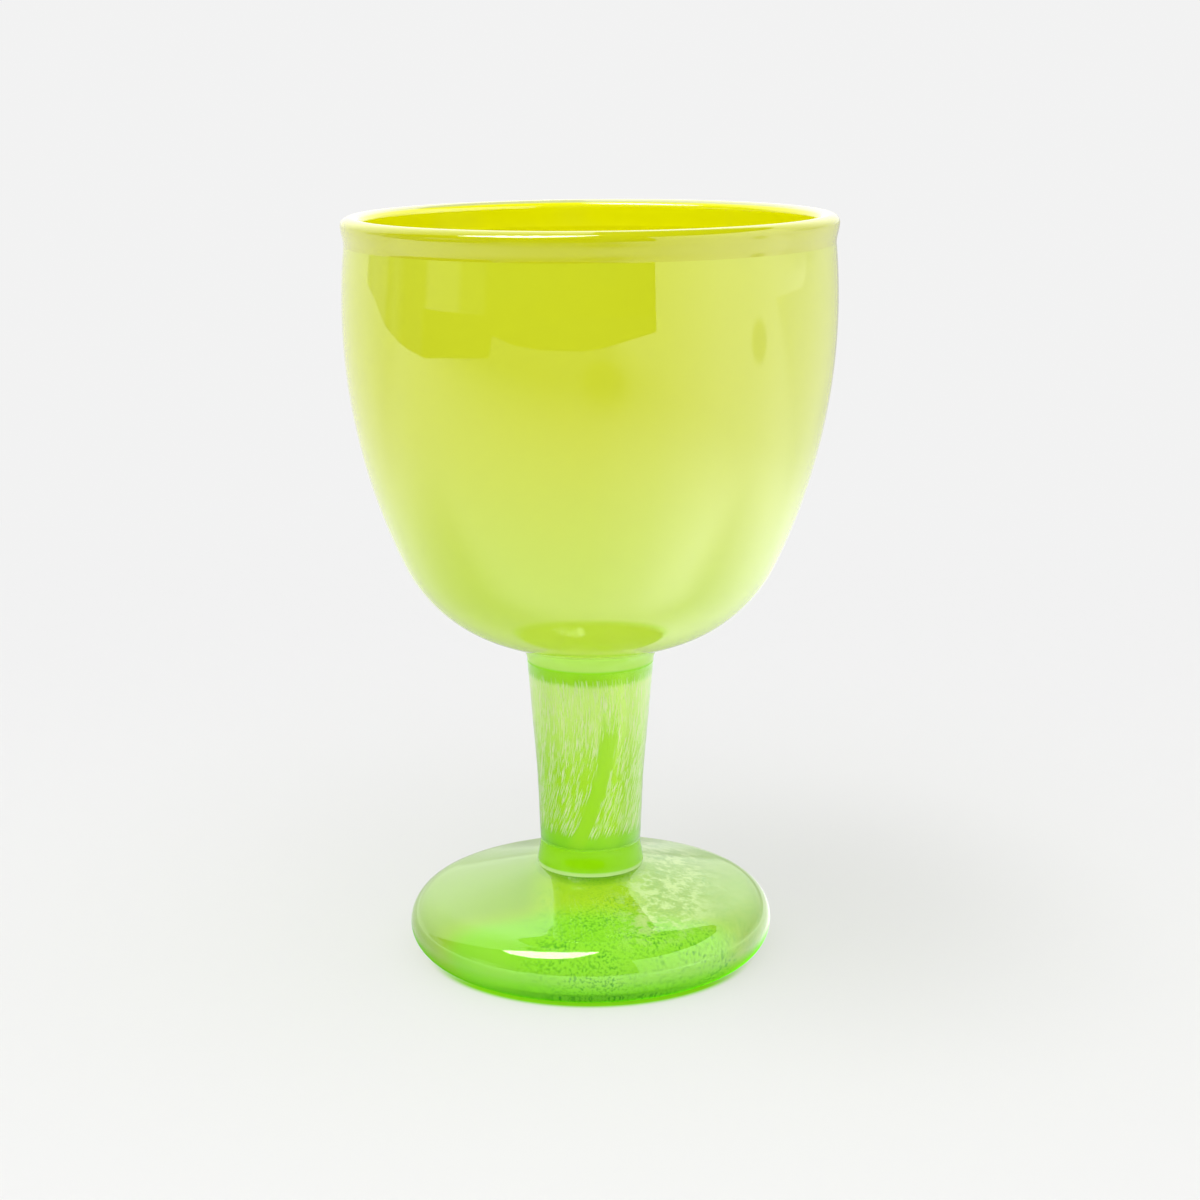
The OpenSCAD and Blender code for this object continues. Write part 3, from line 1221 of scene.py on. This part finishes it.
def mirrored_paper(tree, place, from_axis):
    """The paper as the goblet's reflections meet it, as bright as the photograph's overexposed one."""
    x, y = (part_of(tree, place, axis) for axis in "XY")
    from_bowl = vector_node(tree, "SUBTRACT", place, VANTAGE)
    white, dark, is_dark = room_shine(tree, from_bowl)
    # painted pool of light in front of the goblet
    in_front = eased(tree, y, *FRONT_RISE, *FRONT_SHINES)
    white = product(tree, white, mix_value(tree, eased(tree, x, *RIGHT_START), in_front, 1.0))
    # painted shade of the goblet close by
    near = product(tree, eased(tree, y, *BESIDE_START), fading(tree, from_axis, *NEAR_FADE))
    white = product(tree, white, mix_value(tree, near, 1.0, NEAR_SHINE))
    white = product(tree, white, fading(tree, y, *BEHIND_START, BEHIND_SHINE))
    # a soft patch of painted shade in front
    front_shade = from_patch(tree, place, FRONT_SHADE_PLACE, FRONT_SHADE_SIZE)
    white = product(tree, white, eased(tree, front_shade, *FRONT_SHADE_EDGE, FRONT_SHADE_SHINE, 1.0))
    level = mix_value(tree, is_dark, with_wall(tree, from_bowl, white), dark)
    # painted green shade close round the foot
    tint = mix_colour(tree, eased(tree, from_axis, *FOOT_GREEN_SHADE_EDGE), FOOT_GREEN_SHADE, WHITE)
    return emission(tree, tint, level)


def paper_material():
    """White paper, which the camera, the glass and the goblet's reflections each see in their way."""
    material, tree = new_material("paper")
    place = object_place(tree)
    path = add(tree, "LightPath")
    from_axis = vector_node(tree, "LENGTH", place)
    only_mirrored = product(tree, path.outputs["Is Glossy Ray"], path.outputs["Is Reflection Ray"])
    seen = seen_paper(tree, place, from_axis, path)
    shown = mix_shader(tree, only_mirrored, seen, mirrored_paper(tree, place, from_axis))
    through_glass = product(tree, path.outputs["Is Transmission Ray"], UNDER_SHARE)
    under_foot = product(tree, through_glass, fading(tree, from_axis, *UNDER_END))
    under_colour = mix_colour(tree, eased(tree, from_axis, *UNDER_EDGE), UNDER_PALE, UNDER_GREEN)
    finish_material(tree, mix_shader(tree, under_foot, shown, emission(tree, under_colour, 1.0)))
    return material


def make_floor():
    """A sweep of white paper: level under the goblet and in front, and rising far behind it."""
    line = [(FLOOR_FRONT, -TABLE_DROP), (FLOOR_BACK, -TABLE_DROP)]
    for k in range(1, FLOOR_BEND_STEPS + 1):
        a = math.pi / 2 * k / FLOOR_BEND_STEPS
        rise = FLOOR_BEND_R * (1 - math.cos(a))
        line.append((FLOOR_BACK + FLOOR_BEND_R * math.sin(a), -TABLE_DROP + rise))
    line.append((FLOOR_BACK + FLOOR_BEND_R, FLOOR_TOP))
    bm = bmesh.new()
    rows = [[bm.verts.new((x, y, z)) for x in (-FLOOR_HALF, FLOOR_HALF)] for y, z in line]
    for low, high in zip(rows, rows[1:]):
        bm.faces.new((low[0], low[1], high[1], high[0])).smooth = True
    floor = finished("floor", bm, paper_material())


# The softbox: a lamp that lights the goblet, and a bright card that its glass mirrors instead

LAMP_PLACE = (-0.155, -0.645, 0.9)
LAMP_WIDTH = 0.99
LAMP_DEPTH = 0.69
LAMP_RADIANCE = 1.6

# the corners of the card, which give the highlight on the bowl its shape
CARD_CORNERS = [
    (-0.80, -0.38), (-0.62, -0.56), (-0.35, -0.60), (-0.12, -0.47), (0.03, -0.20), (0.03, -0.15),
    (-0.80, -0.20),
]
CARD_HEIGHT = LAMP_PLACE[2] + MM
CARD_RADIANCE = 24


def make_lamp():
    data = bpy.data.lights.new("softbox", "AREA")
    data.shape = "RECTANGLE"
    data.size = LAMP_WIDTH
    data.size_y = LAMP_DEPTH
    data.energy = LAMP_RADIANCE * math.pi * LAMP_WIDTH * LAMP_DEPTH
    lamp = bpy.data.objects.new("softbox", data)
    lamp.location = LAMP_PLACE
    lamp.visible_glossy = False
    lamp.visible_transmission = False
    scene.collection.objects.link(lamp)


def make_card():
    material, tree = new_material("softbox_face")
    finish_material(tree, emission(tree, rgb(*WHITE), CARD_RADIANCE))
    bm = bmesh.new()
    bm.faces.new([bm.verts.new((x, y, CARD_HEIGHT)) for x, y in CARD_CORNERS[::-1]])
    card = finished("softbox_face", bm, material)
    card.visible_camera = False
    card.visible_diffuse = False
    card.visible_shadow = False


# The goblet

def dress(piece, node):
    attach(piece, "root")
    if node is not None:
        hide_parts(node)


make_camera()
make_world()
make_floor()
make_lamp()
make_card()
scene.cycles.transparent_max_bounces = 32
scene.cycles.diffuse_bounces = 8
scene.view_settings.view_transform = "Standard"

fused = joint_clear()

dress(turned("foot_casing_glass", "foot_casing", foot_glass(), fused), "foot_casing")
dress(turned("foot_core_gather", "foot_core", powdered_core()), "foot_core")
dress(turned("foot_collar_ring", "foot_collar", foot_ring()), "foot_collar")
dress(turned("stem_casing_glass", "stem_casing", stem_glass(), fused), "stem_casing")
dress(turned("stem_core_rod", "stem_core", streaked_core()), "stem_core")
dress(make_streaks(streak_white()), None)
dress(turned("bowl_collar_disc", "bowl_collar", neck_ring()), "bowl_collar")
dress(turned("bowl_casing_opal", "bowl_casing", bowl_lime()), "bowl_casing")
dress(turned("bowl_lining_layer", "bowl_lining", lining_yellow()), "bowl_lining")
dress(turned("lip_band", "lip", lip_yellow()), "lip")
